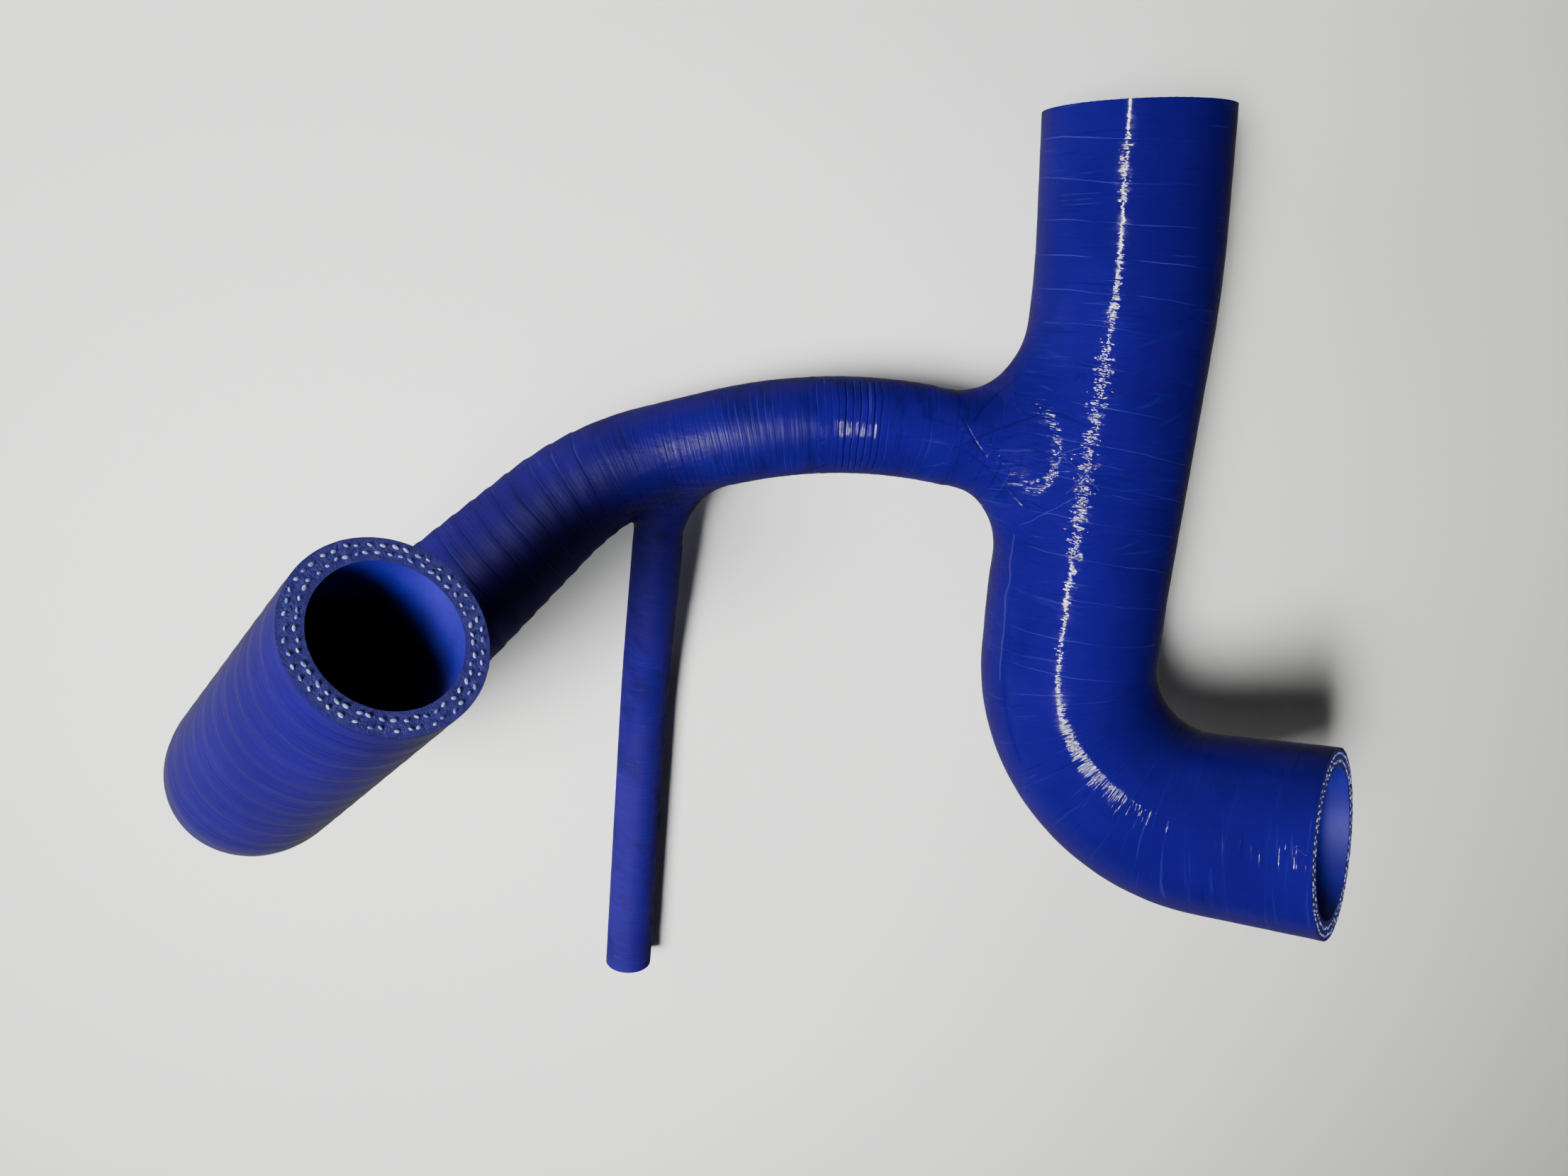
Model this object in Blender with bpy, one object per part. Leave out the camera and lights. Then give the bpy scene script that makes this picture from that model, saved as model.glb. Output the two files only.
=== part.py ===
"""Moulded breather hose: one piece of fabric-reinforced silicone rubber.

A wide main hose ends in a tight elbow. A narrow branch leaves its side, grows
wider and turns up into an upright leg. A thin vacuum leg hangs from the branch.
The hose lies as it comes to rest on a table: the upper run of the main hose and
the thin leg touch the table, and the upright leg points into the air.

Model space is in metres with +Z up. The middle of the bounding box's underside
is the origin. The named sizes below are in millimetres.
"""

import math
from typing import NamedTuple

import bmesh
import bpy
from mathutils import Vector

MM = 0.001

# Main hose: outer and inner diameter.
MAIN_OD = 40.0
MAIN_BORE = 32.0

# Branch: diameters where it leaves the main hose.
BRANCH_OD = 21.0
BRANCH_BORE = 13.0

# Upright leg at the far end of the branch, and the elbow below it.
UPRIGHT_OD = 32.0
UPRIGHT_BORE = 24.0

# Thin vacuum leg.
VACUUM_OD = 11.5
VACUUM_BORE = 5.0

# Corners of the main hose's centreline as (x, y, height above its resting line),
# from the top cut to the elbow's cut, with the bend radius at each inner corner.
MAIN_CORNERS = (
    (0.0, 36.0, 0.0),
    (0.0, 0.0, 0.0),
    (-10.5, -68.5, 7.0),
    (-14.0, -118.5, 9.0),
    (31.5, -112.0, 50.5),
)
MAIN_BENDS = (130.0, 95.0, 31.5)

# The branch starts on the main centreline, this far along it from the top cut.
BRANCH_START = 77.0

# Corners of the branch after its start, as (x, y, height above the main hose's
# resting line), and the bend radius at each inner corner.
BRANCH_CORNERS = (
    (-66.5, -25.5, 3.0),
    (-116.5, -36.5, -0.5),
    (-207.0, -111.0, 15.5),
    (-145.5, -45.5, 85.5),
)
BRANCH_BENDS = (110.0, 63.0, 23.0)

# The thin leg starts on the branch's centreline, this far along it, and lies on
# the table from its corner to its cut.
VACUUM_START = 98.0
VACUUM_CORNER = (-109.5, -91.0)
VACUUM_END = (-117.5, -168.5)
VACUUM_BEND = 120.0

# Moulded fillets at the two junctions. The first size of each pair is how far the
# fillet spreads over the hose that carries it, the second how far it climbs the
# leg: toward the carrier's start, toward its end, and around it.
BRANCH_FILLET_BACK = (34.0, 18.0)
BRANCH_FILLET_FORE = (22.0, 14.0)
BRANCH_FILLET_SIDE = (7.0, 8.0)
VACUUM_FILLET_BACK = (17.0, 18.0)
VACUUM_FILLET_FORE = (2.5, 3.5)
VACUUM_FILLET_SIDE = (3.0, 6.0)

# A fillet's foot is sunk into its carrier by this share of its spread.
FILLET_SINK = 0.06

# How finely rings follow a bend, and how many corners a ring has.
TURN_STEP = math.radians(7.5)
FILLET_STEPS = 6
WIDENING_STEPS = 6
MAIN_SIDES = 44
BRANCH_SIDES = 32
VACUUM_SIDES = 20

# Rings keep at least this far apart.
LEAST_RING_GAP = 0.8

# How often the search for a leg's way out of its carrier halves its range.
HALVINGS = 30

# A bore's cutter runs this far past the cut face it opens.
CUT_PAST = 3.0

UP = Vector((0.0, 0.0, 1.0))

# Glossy deep blue rubber.
SILICONE_BLUE = (0.012, 0.020, 0.300, 1.0)
SILICONE_ROUGHNESS = 0.28

# Faces that meet at more than this angle keep a sharp edge between them.
SHARP_ANGLE = math.radians(40.0)


class Stretch(NamedTuple):
    """One straight run or one round bend of a centreline; a run has no radius."""

    begin: float
    length: float
    start: Vector
    way: Vector
    inward: Vector
    radius: float

    def at(self, distance):
        """Return the point and direction at a distance along the whole line."""
        along = distance - self.begin
        if not self.radius:
            return self.start + self.way * along, self.way
        angle = along / self.radius
        across = self.inward * self.radius * (1.0 - math.cos(angle))
        point = self.start + across + self.way * self.radius * math.sin(angle)
        return point, self.way * math.cos(angle) + self.inward * math.sin(angle)


class Centreline:
    """A line through corners, with a round bend at each inner corner."""

    def __init__(self, corners, bends):
        """Split the line into straight runs and bends, in order."""
        self.stretches = []
        self.length = 0.0
        here = corners[0]
        for index, radius in enumerate(bends):
            corner = corners[index + 1]
            way_in = (corner - corners[index]).normalized()
            way_out = (corners[index + 2] - corner).normalized()
            turn = way_in.angle(way_out)
            reach = radius * math.tan(turn / 2.0)
            bend_from = corner - way_in * reach
            self.add(here, way_in, (bend_from - here).length)
            self.add(bend_from, way_in, radius * turn, facing(way_out, way_in), radius)
            here = corner + way_out * reach
        self.add(here, way_out, (corners[-1] - here).length)

    def add(self, start, way, length, inward=None, radius=0.0):
        """Add a straight run, or a bend if it has a radius."""
        self.stretches.append(Stretch(self.length, length, start, way, inward, radius))
        self.length += length

    def last_bend(self):
        """Return the distance at which the last bend starts."""
        return self.stretches[-2].begin

    def at(self, distance):
        """Return the point and direction at a distance, which may pass either end."""
        chosen = self.stretches[0]
        for stretch in self.stretches:
            if distance >= stretch.begin:
                chosen = stretch
        return chosen.at(distance)

    def ring_places(self, begin, end, extra=()):
        """Return the distances of the rings: both ends, each join, along each bend and the extra ones."""
        places = list(extra)
        for stretch in self.stretches:
            steps = 1
            if stretch.radius:
                steps = max(2, math.ceil(stretch.length / stretch.radius / TURN_STEP))
            places += [stretch.begin + stretch.length * step / steps for step in range(steps)]
        chosen = [begin]
        for place in sorted(places):
            if chosen[-1] + LEAST_RING_GAP < place < end - LEAST_RING_GAP:
                chosen.append(place)
        return chosen + [end]


def facing(side, way):
    """Return a side direction turned square to the way."""
    return (side - way * side.dot(way)).normalized()


def round_point(line, distance, side, angle, radius):
    """Return the point of a round hose's surface at a distance and an angle from the side."""
    centre, way = line.at(distance)
    return centre + (side * math.cos(angle) + way.cross(side) * math.sin(angle)) * radius


def round_rings(line, places, sides, first_side, radius_at):
    """Return rings of corners at the places along the line, without a twist."""
    side = first_side
    rings = []
    for distance in places:
        side = facing(side, line.at(distance)[1])
        radius = radius_at(distance)
        angles = (math.tau * index / sides for index in range(sides))
        rings.append([round_point(line, distance, side, angle, radius) for angle in angles])
    return rings


def solid_from_rings(name, rings):
    """Bridge the rings, close both ends and return the solid as an object."""
    mesh = bpy.data.meshes.new(name)
    shape = bmesh.new()
    loops = []
    for ring in rings:
        corners = [shape.verts.new(spot * MM) for spot in ring]
        loops.append([shape.edges.new((corners[i - 1], corners[i])) for i in range(len(corners))])
        if ring is rings[0] or ring is rings[-1]:
            shape.faces.new(corners)
    for edges, next_edges in zip(loops, loops[1:]):
        bmesh.ops.bridge_loops(shape, edges=edges + next_edges)
    bmesh.ops.recalc_face_normals(shape, faces=shape.faces)
    shape.to_mesh(mesh)
    shape.free()
    solid = bpy.data.objects.new(name, mesh)
    bpy.context.scene.collection.objects.link(solid)
    return solid


def blend(pairs, angle):
    """Return a fillet's spread and climb at an angle around its leg."""
    back, fore, around = pairs
    along = back if math.cos(angle) > 0.0 else fore
    share = math.cos(angle) ** 2
    return tuple(share * along[i] + (1.0 - share) * around[i] for i in range(2))


def rooted_leg(leg, radius_at, sides, carrier, root_distance, carrier_radius_at, pairs):
    """Return the rings of a moulded fillet where a leg leaves its carrier.

    Also returned are the distance along the leg at which its round rings may start
    and the side that those rings face.

    The leg's line starts on the carrier's centreline. Each fillet curve runs from
    a foot on the carrier, past the sharp corner between the two hoses, to the leg.
    """
    root, carrier_way = carrier.at(root_distance)
    carrier_radius = carrier_radius_at(root_distance)
    leg_way = leg.at(0.0)[1]
    out_way = facing(leg_way, carrier_way)
    around_way = carrier_way.cross(out_way)
    first_side = -facing(carrier_way, leg_way)

    def on_leg(distance, angle):
        """Return the point on the leg's round surface."""
        side = facing(first_side, leg.at(distance)[1])
        return round_point(leg, distance, side, angle, radius_at(distance))

    def over_carrier(point):
        """Return how far a point is from the carrier's axis."""
        away = point - root
        return (away - carrier_way * away.dot(carrier_way)).length

    def leaving(angle):
        """Return the distance at which the leg's surface leaves the carrier, by halving."""
        inner, outer = 0.0, carrier_radius * 4.0
        for _ in range(HALVINGS):
            middle = (inner + outer) / 2.0
            if over_carrier(on_leg(middle, angle)) < carrier_radius:
                inner = middle
            else:
                outer = middle
        return outer

    centre_along = leg_way.dot(carrier_way) * carrier_radius / leg_way.dot(out_way)
    feet, corners, tops, climbs = [], [], [], []
    for index in range(sides):
        angle = math.tau * index / sides
        spread, climb = blend(pairs, angle)
        start = leaving(angle)
        corner = on_leg(start, angle)
        along = (corner - root).dot(carrier_way)
        turned = math.atan2((corner - root).dot(around_way), (corner - root).dot(out_way))
        heading = Vector((along - centre_along, turned * carrier_radius)).normalized()
        along += heading.x * spread
        turned += heading.y * spread / carrier_radius
        middle, way = carrier.at(root_distance + along)
        out = facing(out_way, way)
        ray = out * math.cos(turned) + way.cross(out) * math.sin(turned)
        foot_radius = carrier_radius_at(root_distance + along) - spread * FILLET_SINK
        feet.append(middle + ray * foot_radius)
        corners.append(corner)
        tops.append(on_leg(start + climb, angle))
        climbs.append(start + climb)

    rings = [[root.lerp(foot, 0.5) for foot in feet]]
    for step in range(FILLET_STEPS + 1):
        share = step / FILLET_STEPS
        rings.append([
            foot.lerp(corner, share).lerp(corner.lerp(top, share), share)
            for foot, corner, top in zip(feet, corners, tops)
        ])
    start = max(climbs) + LEAST_RING_GAP
    return rings, start, facing(first_side, leg.at(start)[1])


def silicone():
    """Return the hose's glossy blue rubber."""
    material = bpy.data.materials.new("blue_silicone")
    material.use_nodes = True
    shader = material.node_tree.nodes["Principled BSDF"]
    shader.inputs["Base Color"].default_value = SILICONE_BLUE
    shader.inputs["Roughness"].default_value = SILICONE_ROUGHNESS
    material.diffuse_color = SILICONE_BLUE
    return material


def join_or_cut(body, tool, operation):
    """Add a Boolean to the body; the tool stays as an unrendered guide."""
    modifier = body.modifiers.new(tool.name, "BOOLEAN")
    modifier.operation = operation
    modifier.solver = "EXACT"
    modifier.object = tool
    tool.display_type = "WIRE"
    tool.hide_render = True


def build():
    """Model the hose and stand its origin under the middle of its box."""
    for old in list(bpy.data.objects):
        bpy.data.objects.remove(old, do_unlink=True)

    main_radius = MAIN_OD / 2.0
    lift = UP * main_radius
    main_corners = [Vector(corner) + lift for corner in MAIN_CORNERS]
    main_line = Centreline(main_corners, MAIN_BENDS)

    branch_root, main_way = main_line.at(BRANCH_START)
    branch_corners = [branch_root] + [Vector(corner) + lift for corner in BRANCH_CORNERS]
    branch_line = Centreline(branch_corners, BRANCH_BENDS)

    vacuum_root, branch_way = branch_line.at(VACUUM_START)
    resting = VACUUM_OD / 2.0
    vacuum_corners = [vacuum_root, Vector((*VACUUM_CORNER, resting)), Vector((*VACUUM_END, resting))]
    vacuum_line = Centreline(vacuum_corners, (VACUUM_BEND,))

    widening_end = branch_line.last_bend()

    def widened(distance, narrow, wide):
        """Return a diameter that grows from the thin leg's root to the last elbow."""
        share = (distance - VACUUM_START) / (widening_end - VACUUM_START)
        share = min(max(share, 0.0), 1.0)
        return narrow + (wide - narrow) * share

    def branch_radius(distance):
        """Return the branch's outer radius."""
        return widened(distance, BRANCH_OD, UPRIGHT_OD) / 2.0

    def branch_bore_radius(distance):
        """Return the branch's inner radius."""
        return widened(distance, BRANCH_BORE, UPRIGHT_BORE) / 2.0

    widening = [
        VACUUM_START + (widening_end - VACUUM_START) * step / WIDENING_STEPS
        for step in range(WIDENING_STEPS + 1)
    ]

    hose = solid_from_rings("breather_hose", round_rings(
        main_line, main_line.ring_places(0.0, main_line.length), MAIN_SIDES, UP,
        lambda distance: main_radius))

    rings, start, side = rooted_leg(
        branch_line, branch_radius, BRANCH_SIDES, main_line, BRANCH_START,
        lambda distance: main_radius, (BRANCH_FILLET_BACK, BRANCH_FILLET_FORE, BRANCH_FILLET_SIDE))
    rings += round_rings(
        branch_line, branch_line.ring_places(start, branch_line.length, widening),
        BRANCH_SIDES, side, branch_radius)
    branch_tool = solid_from_rings("branch_outside", rings)

    rings, start, side = rooted_leg(
        vacuum_line, lambda distance: VACUUM_OD / 2.0, VACUUM_SIDES, branch_line, VACUUM_START,
        branch_radius, (VACUUM_FILLET_BACK, VACUUM_FILLET_FORE, VACUUM_FILLET_SIDE))
    rings += round_rings(
        vacuum_line, vacuum_line.ring_places(start, vacuum_line.length),
        VACUUM_SIDES, side, lambda distance: VACUUM_OD / 2.0)
    vacuum_tool = solid_from_rings("vacuum_leg_outside", rings)

    main_bore = solid_from_rings("main_bore", round_rings(
        main_line, main_line.ring_places(-CUT_PAST, main_line.length + CUT_PAST), MAIN_SIDES, UP,
        lambda distance: MAIN_BORE / 2.0))
    branch_bore = solid_from_rings("branch_bore", round_rings(
        branch_line, branch_line.ring_places(0.0, branch_line.length + CUT_PAST, widening),
        BRANCH_SIDES, -main_way, branch_bore_radius))
    vacuum_bore = solid_from_rings("vacuum_bore", round_rings(
        vacuum_line, vacuum_line.ring_places(0.0, vacuum_line.length + CUT_PAST),
        VACUUM_SIDES, -branch_way, lambda distance: VACUUM_BORE / 2.0))

    hose.data.materials.append(silicone())
    join_or_cut(hose, branch_tool, "UNION")
    join_or_cut(hose, vacuum_tool, "UNION")
    join_or_cut(hose, main_bore, "DIFFERENCE")
    join_or_cut(hose, branch_bore, "DIFFERENCE")
    join_or_cut(hose, vacuum_bore, "DIFFERENCE")
    hose.data.shade_smooth()
    hose.data.set_sharp_from_angle(angle=SHARP_ANGLE)

    bpy.context.view_layer.update()
    finished = hose.evaluated_get(bpy.context.evaluated_depsgraph_get())
    places = [vertex.co for vertex in finished.data.vertices]
    low = [min(place[axis] for place in places) for axis in range(3)]
    high = [max(place[axis] for place in places) for axis in range(3)]
    origin = bpy.data.objects.new("hose_origin", None)
    bpy.context.scene.collection.objects.link(origin)
    origin.location = (-(low[0] + high[0]) / 2.0, -(low[1] + high[1]) / 2.0, -low[2])
    for piece in (hose, branch_tool, vacuum_tool, main_bore, branch_bore, vacuum_bore):
        piece.parent = origin


build()
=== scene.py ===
"""Looks of the moulded breather hose: one piece of tape-wrapped blue silicone rubber.

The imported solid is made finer, its wraps are raised on it, its four cuts are made
crisp and get their cut yarn ends, and each surface gets its finish.
Sizes are in millimetres unless a name says otherwise.
"""

import logging
import math
import random
from dataclasses import dataclass, field, replace
from enum import Enum

import bpy
import numpy as np
from mathutils import Matrix, Vector


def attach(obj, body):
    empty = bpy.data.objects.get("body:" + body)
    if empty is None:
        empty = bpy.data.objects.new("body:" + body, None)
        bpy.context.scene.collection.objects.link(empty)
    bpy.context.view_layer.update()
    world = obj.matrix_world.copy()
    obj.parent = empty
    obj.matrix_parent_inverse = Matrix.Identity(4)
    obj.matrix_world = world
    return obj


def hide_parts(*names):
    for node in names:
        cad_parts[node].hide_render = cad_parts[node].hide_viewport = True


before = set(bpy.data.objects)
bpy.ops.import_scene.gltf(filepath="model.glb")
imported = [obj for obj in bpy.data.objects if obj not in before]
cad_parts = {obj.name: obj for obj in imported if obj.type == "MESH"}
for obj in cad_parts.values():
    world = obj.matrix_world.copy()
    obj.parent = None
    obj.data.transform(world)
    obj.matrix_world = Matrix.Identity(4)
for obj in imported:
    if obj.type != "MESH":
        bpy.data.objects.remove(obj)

MM = 0.001
NODE = "breather_hose"
BODY = "root"
LOG = logging.getLogger("breather_hose")

Pair = tuple[float, float]
Triple = tuple[float, float, float]
Colour = tuple[float, float, float, float]
Mark = tuple[float, float, float, float]
Fade = tuple[float, float, float, float]
Socket = bpy.types.NodeSocket


class Surface(Enum):
    """The kinds of surface on the hose; the value is the material slot's place."""

    SKIN = 0
    LINING = 1
    CUT = 2


@dataclass(frozen=True)
class Stretch:
    """One straight run or one round bend of a centreline; a run has no radius."""

    begin: float
    start: np.ndarray
    way: np.ndarray
    inward: np.ndarray
    radius: float

    def at(self, distance: float) -> tuple[np.ndarray, np.ndarray]:
        """Finds a place on the stretch.

        Args:
            distance: how far along the whole line the place is.

        Returns:
            The point and the direction there.
        """
        along = distance - self.begin
        if self.radius == 0.0:
            return self.start + self.way * along, self.way
        turn = along / self.radius
        across = self.inward * self.radius * (1.0 - math.cos(turn))
        point = self.start + across + self.way * self.radius * math.sin(turn)
        return point, self.way * math.cos(turn) + self.inward * math.sin(turn)


@dataclass
class Leg:
    """One leg of the hose, with its centreline, its outside and its bore.

    The wall is given as rows of (distance along, outer radius, bore radius).
    """

    name: str
    corners: tuple[Triple, ...]
    bends: tuple[float, ...]
    wall: tuple[Triple, ...]
    before: float = 0.0
    past: float = 8.0
    sample_gap: float = 0.25
    block: int = 8192
    stretches: list[Stretch] = field(default_factory=list)
    length: float = 0.0

    def __post_init__(self) -> None:
        """Splits the line into runs and bends and samples it finely."""
        corners = [np.array(corner, float) for corner in self.corners]
        here, flat = corners[0], np.zeros(3)
        for index, radius in enumerate(self.bends):
            way_in = unit(corners[index + 1] - corners[index])
            way_out = unit(corners[index + 2] - corners[index + 1])
            turn = math.acos(float(np.clip(way_in @ way_out, -1.0, 1.0)))
            reach = radius * math.tan(turn / 2.0)
            bend_from = corners[index + 1] - way_in * reach
            inward = unit(way_out - way_in * (way_out @ way_in))
            self.stretches.append(Stretch(self.length, here, way_in, flat, 0.0))
            self.length += float(np.linalg.norm(bend_from - here))
            self.stretches.append(Stretch(self.length, bend_from, way_in, inward, radius))
            self.length += radius * turn
            here = corners[index + 1] + way_out * reach
        self.stretches.append(Stretch(self.length, here, way_out, flat, 0.0))
        self.length += float(np.linalg.norm(corners[-1] - here))
        count = int((self.length + self.before + self.past) / self.sample_gap) + 1
        self.along = np.linspace(-self.before, self.length + self.past, count)
        found = [self.at(distance) for distance in self.along]
        self.points = np.array([point for point, _ in found])
        self.ways = np.array([way for _, way in found])
        side = np.array((0.0, 0.0, 1.0))
        sides = []
        for way in self.ways:
            side = unit(side - way * (side @ way))
            sides.append(side)
        self.sides = np.array(sides)

    def at(self, distance: float) -> tuple[np.ndarray, np.ndarray]:
        """Finds a place on the line.

        Args:
            distance: how far along the line; it may pass either end.

        Returns:
            The point and the direction there.
        """
        chosen = self.stretches[0]
        for stretch in self.stretches:
            if distance >= stretch.begin:
                chosen = stretch
        return chosen.at(distance)

    def outer(self, along: np.ndarray) -> np.ndarray:
        """Returns the outer radius at each distance."""
        return np.interp(along, [row[0] for row in self.wall], [row[1] for row in self.wall])

    def bore(self, along: np.ndarray) -> np.ndarray:
        """Returns the bore radius at each distance."""
        return np.interp(along, [row[0] for row in self.wall], [row[2] for row in self.wall])

    def read(self, places: np.ndarray) -> "Reading":
        """Measures where places are on this leg.

        Args:
            places: the points, one row each.

        Returns:
            Each point's distance along, its foot on the line, how far it is from the
            line, and its place on the leg as if the leg were straight.
        """
        nearest = np.empty(len(places), int)
        squares = (self.points**2).sum(1)
        for first in range(0, len(places), self.block):
            some = slice(first, first + self.block)
            nearest[some] = (squares - 2.0 * places[some] @ self.points.T).argmin(1)
        ways, sides = self.ways[nearest], self.sides[nearest]
        slip = ((places - self.points[nearest]) * ways).sum(1)
        slip = np.clip(slip, -self.sample_gap, self.sample_gap)
        feet = self.points[nearest] + ways * slip[:, None]
        off = places - feet
        away = np.linalg.norm(off, axis=1)
        across = np.stack(((off * sides).sum(1), (off * np.cross(ways, sides)).sum(1)), 1)
        along = self.along[nearest] + slip
        return Reading(along, feet, off, away, np.column_stack((across, along)))


@dataclass(frozen=True)
class Reading:
    """Where points are on a leg; straight is (across, across, along) for patterns."""

    along: np.ndarray
    feet: np.ndarray
    off: np.ndarray
    away: np.ndarray
    straight: np.ndarray


@dataclass(frozen=True)
class Cut:
    """A cut end: the middle of its face, the way out, and the radii of its wall."""

    name: str
    middle: np.ndarray
    way: np.ndarray
    side: np.ndarray
    outer: float
    bore: float


def unit(vector: np.ndarray) -> np.ndarray:
    """Returns the vector at a length of one."""
    return vector / np.linalg.norm(vector)


def rise(values: np.ndarray, low: float, high: float) -> np.ndarray:
    """Returns a smooth step from 0 at low to 1 at high."""
    share = np.clip((values - low) / (high - low), 0.0, 1.0)
    return share * share * (3.0 - 2.0 * share)


def choose_only(item: bpy.types.Object) -> None:
    """Deselects everything, then selects one object and makes it active."""
    bpy.ops.object.select_all(action="DESELECT")
    item.select_set(True)
    bpy.context.view_layer.objects.active = item


def places_of(mesh: bpy.types.Mesh) -> np.ndarray:
    """Returns a mesh's corner places in millimetres, one row each."""
    flat = np.empty(len(mesh.vertices) * 3)
    mesh.vertices.foreach_get("co", flat)
    return flat.reshape(-1, 3) / MM


def put_places(mesh: bpy.types.Mesh, places: np.ndarray) -> None:
    """Writes a mesh's corner places from millimetres."""
    mesh.vertices.foreach_set("co", (places * MM).ravel())
    mesh.update()


MAIN = Leg(
    "main",
    ((76.962, 102.545, 20.0), (76.962, 66.545, 20.0), (66.462, -1.955, 27.0),
     (62.962, -51.955, 29.0), (108.462, -45.455, 70.5)),
    (130.0, 95.0, 31.5),
    ((0.0, 20.0, 16.0), (200.0, 20.0, 16.0)),
    before=8.0,
)
BRANCH = Leg(
    "branch",
    (tuple(MAIN.at(77.0)[0]), (10.462, 41.045, 23.0), (-39.538, 30.045, 19.5),
     (-130.038, -44.455, 35.5), (-68.538, 21.045, 105.5)),
    (110.0, 63.0, 23.0),
    ((98.0, 10.5, 6.5), (176.2, 16.0, 12.0)),
)
THIN = Leg(
    "thin",
    (tuple(BRANCH.at(98.0)[0]), (-32.538, -24.455, 5.75), (-40.538, -101.955, 5.75)),
    (120.0,),
    ((0.0, 5.75, 2.5), (140.0, 5.75, 2.5)),
)
LEGS = (MAIN, BRANCH, THIN)


def cut_at(name: str, leg: Leg, distance: float, outward: float) -> Cut:
    """Describes the cut face at one end of a leg.

    Args:
        name: the cut's name.
        leg: the leg that it ends.
        distance: where along the leg it is.
        outward: 1 if the leg's own direction points out of the face, or -1.

    Returns:
        The cut.
    """
    middle, way = leg.at(distance)
    side = unit(np.array((0.0, 0.0, 1.0)) - way * way[2])
    where = np.array([distance])
    outer, bore = float(leg.outer(where)[0]), float(leg.bore(where)[0])
    return Cut(name, middle, way * outward, side, outer, bore)


CUTS = (
    cut_at("top", MAIN, 0.0, -1.0),
    cut_at("elbow", MAIN, MAIN.length, 1.0),
    cut_at("upright", BRANCH, BRANCH.length, 1.0),
    cut_at("thin", THIN, THIN.length, 1.0),
)


@dataclass(frozen=True)
class Blotches:
    """Soft patches: their noise, the step that picks them out, and their strength."""

    scale: float
    low: float
    high: float
    strength: float
    detail: float = 3.0
    rough: float = 0.5


@dataclass
class NodeSheet:
    """A node tree with short ways to add and join its nodes."""

    tree: bpy.types.NodeTree

    def feed(self, socket: Socket, value: object) -> None:
        """Links a socket to another, or sets it to a plain value."""
        if isinstance(value, Socket):
            self.tree.links.new(value, socket)
        else:
            socket.default_value = value

    def add(self, kind: str, feeds: dict[object, object] | None = None, **settings: object) -> bpy.types.Node:
        """Adds a node.

        Args:
            kind: the node's type name.
            feeds: what goes into its input sockets, by name or place.
            settings: its properties.

        Returns:
            The node.
        """
        node = self.tree.nodes.new(kind)
        for name, value in settings.items():
            setattr(node, name, value)
        for name, value in (feeds or {}).items():
            self.feed(node.inputs[name], value)
        return node

    def math(self, operation: str, *values: object) -> Socket:
        """Adds a math node and returns its result."""
        return self.add("ShaderNodeMath", dict(enumerate(values)), operation=operation).outputs[0]

    def times(self, first: object, *others: object) -> Socket:
        """Multiplies values and returns their product."""
        for other in others:
            first = self.math("MULTIPLY", first, other)
        return first

    def highest(self, first: object, *others: object) -> Socket:
        """Compares values and returns the highest."""
        for other in others:
            first = self.math("MAXIMUM", first, other)
        return first

    def ramp(self, value: object, low: float, high: float, bottom: float = 0.0, top: float = 1.0):
        """Adds a smooth step of a value and returns its result."""
        feeds = {"Value": value, "From Min": low, "From Max": high, "To Min": bottom, "To Max": top}
        node = self.add("ShaderNodeMapRange", feeds, interpolation_type="SMOOTHSTEP")
        return node.outputs["Result"]

    def noise(self, vector: object, scale: float, detail: float = 2.0, rough: float = 0.5):
        """Adds a noise texture and returns its value."""
        feeds = {"Vector": vector, "Scale": scale, "Detail": detail, "Roughness": rough}
        return self.add("ShaderNodeTexNoise", feeds).outputs["Fac"]

    def blotched(self, place: object, patches: Blotches) -> Socket:
        """Adds soft patches and returns their strength."""
        value = self.noise(place, patches.scale, patches.detail, patches.rough)
        return self.times(self.ramp(value, patches.low, patches.high), patches.strength)

    def mix(self, share: object, first: object, second: object) -> Socket:
        """Adds a colour mix and returns its result."""
        feeds = {0: share, 6: first, 7: second}
        return self.add("ShaderNodeMix", feeds, data_type="RGBA").outputs[2]

    def blend(self, share: object, first: object, second: object) -> Socket:
        """Adds a number mix and returns its result."""
        feeds = {0: share, 2: first, 3: second}
        return self.add("ShaderNodeMix", feeds, data_type="FLOAT").outputs[0]

    def vector(self, operation: str, first: object, second: object, output: str = "Vector"):
        """Adds a vector math node and returns one of its results."""
        node = self.add("ShaderNodeVectorMath", {0: first, 1: second}, operation=operation)
        return node.outputs[output]

    def scaled(self, vector: object, scale: object) -> Socket:
        """Adds a part-by-part product of two vectors and returns its result."""
        return self.vector("MULTIPLY", vector, scale)

    def split(self, vector: object) -> object:
        """Adds a splitter of a vector and returns its three results."""
        return self.add("ShaderNodeSeparateXYZ", {0: vector}).outputs

    def joined(self, *parts: object) -> Socket:
        """Adds a joiner of three numbers and returns the vector."""
        return self.add("ShaderNodeCombineXYZ", dict(enumerate(parts))).outputs[0]

    def object_place(self) -> Socket:
        """Adds a reader of the place on the object and returns it in millimetres."""
        place = self.add("ShaderNodeTexCoord").outputs["Object"]
        return self.scaled(place, (1.0 / MM, 1.0 / MM, 1.0 / MM))

    def bumped(self, height: object, distance: float) -> Socket:
        """Adds a bump and returns its normal."""
        feeds = {"Height": height, "Distance": distance, "Strength": 1.0}
        return self.add("ShaderNodeBump", feeds).outputs["Normal"]

    def attribute(self, name: str, output: str = "Fac") -> Socket:
        """Adds a reader of one of the piece's own attributes and returns its result."""
        return self.add("ShaderNodeAttribute", attribute_name=name).outputs[output]


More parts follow.
